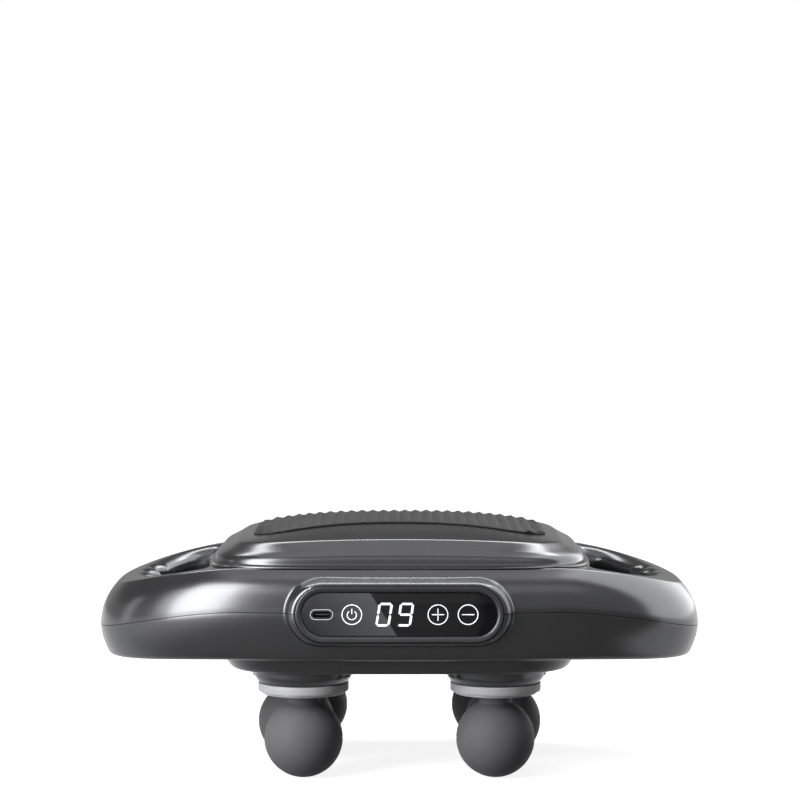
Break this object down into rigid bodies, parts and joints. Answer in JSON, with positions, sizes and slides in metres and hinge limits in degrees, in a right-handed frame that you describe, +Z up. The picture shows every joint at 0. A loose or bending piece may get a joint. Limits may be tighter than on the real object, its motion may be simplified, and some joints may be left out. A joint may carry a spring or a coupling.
{
  "type": "percussion massager",
  "caption": "Handheld percussion massager: rounded body between two finger-grooved handles, ball heads below that drive in and out, domed top with grip pad, front touch display.",
  "frame": {"origin": "centre of the bounding box, on the level of the balls' lowest points", "axes": "+Z up from the balls to the grip pad, +X along the length from handle to handle, -Y towards the display"},
  "size_m": [0.29, 0.1798, 0.1211],
  "materials": {
    "graphite_shell": "satin gunmetal grey with a metallic sheen",
    "pad_rubber": "dark grey, low pyramid studs",
    "ball_rubber": "matte dark grey",
    "seal_plastic": "satin light grey",
    "black_window": "glossy black acrylic",
    "infrared_lens": "glossy, near black with a red tint",
    "bright_steel": "plain machined",
    "black_screw": "black oxide",
    "bush_plastic": "natural bearing plastic",
    "frame_nylon": "moulded nylon",
    "circuit_board": "green solder mask",
    "cell_wrap": "blue shrink wrap over a metal can"
  },
  "bodies": {
    "housing": {"bottom_housing": "graphite_shell", "top_housing": "graphite_shell", "dome_cover": "graphite_shell", "display_bezel": "graphite_shell", "grip_pad": "pad_rubber", "display_window": "black_window", "infrared_window": "infrared_lens", "usb_socket": "bright_steel", "display_board": "circuit_board", "heat_lamp_board": "circuit_board", "main_board": "circuit_board", "battery_tray": "frame_nylon", "battery_cell_left": "cell_wrap", "battery_cell_right": "cell_wrap", "drive_frame_left": "frame_nylon", "motor_left": "bright_steel", "guide_bush_front_left": "bush_plastic", "seal_ring_front_left": "seal_plastic", "guide_bush_middle_left": "bush_plastic", "seal_ring_middle_left": "seal_plastic", "guide_bush_rear_left": "bush_plastic", "seal_ring_rear_left": "seal_plastic", "drive_frame_right": "frame_nylon", "motor_right": "bright_steel", "guide_bush_front_right": "bush_plastic", "seal_ring_front_right": "seal_plastic", "guide_bush_middle_right": "bush_plastic", "seal_ring_middle_right": "seal_plastic", "guide_bush_rear_right": "bush_plastic", "seal_ring_rear_right": "seal_plastic", "screw_corner_front_left": "black_screw", "screw_corner_rear_left": "black_screw", "screw_corner_front_right": "black_screw", "screw_corner_rear_right": "black_screw", "screw_side_left": "black_screw", "screw_side_right": "black_screw", "screw_handle_front_left": "black_screw", "screw_handle_rear_left": "black_screw", "screw_handle_front_right": "black_screw", "screw_handle_rear_right": "black_screw", "screw_centre_front": "black_screw", "screw_centre_rear": "black_screw"},
    "left_crank": {"crankshaft_left": "bright_steel", "crank_roller_left": "bright_steel"},
    "left_carriage": {"yoke_carriage_left": "frame_nylon", "head_stem_front_left": "bright_steel", "head_stem_middle_left": "bright_steel", "head_stem_rear_left": "bright_steel", "head_ball_front_left": "ball_rubber", "head_ball_middle_left": "ball_rubber", "head_ball_rear_left": "ball_rubber"},
    "right_crank": {"crankshaft_right": "bright_steel", "crank_roller_right": "bright_steel"},
    "right_carriage": {"yoke_carriage_right": "frame_nylon", "head_stem_front_right": "bright_steel", "head_stem_middle_right": "bright_steel", "head_stem_rear_right": "bright_steel", "head_ball_front_right": "ball_rubber", "head_ball_middle_right": "ball_rubber", "head_ball_rear_right": "ball_rubber"}
  },
  "joints": [
    {"name": "left_crank_turn", "type": "hinge", "parent": "housing", "child": "left_crank", "pos_m": [-0.0507, 0.00135, 0.0883], "axis": [0, 1, 0], "range_deg": [0, 180]},
    {"name": "left_heads_stroke", "type": "slide", "parent": "housing", "child": "left_carriage", "axis": [0, 0, -1], "range_m": [0, 0.008]},
    {"name": "right_crank_turn", "type": "hinge", "parent": "housing", "child": "right_crank", "pos_m": [0.0507, 0.00135, 0.0883], "axis": [0, 1, 0], "range_deg": [0, 180]},
    {"name": "right_heads_stroke", "type": "slide", "parent": "housing", "child": "right_carriage", "axis": [0, 0, -1], "range_m": [0, 0.008]}
  ],
  "couplings": [
    {"joint": "left_crank_turn", "follows": "left_heads_stroke", "rad_per_m": 392.6},
    {"joint": "right_crank_turn", "follows": "right_heads_stroke", "rad_per_m": 392.6}
  ]
}
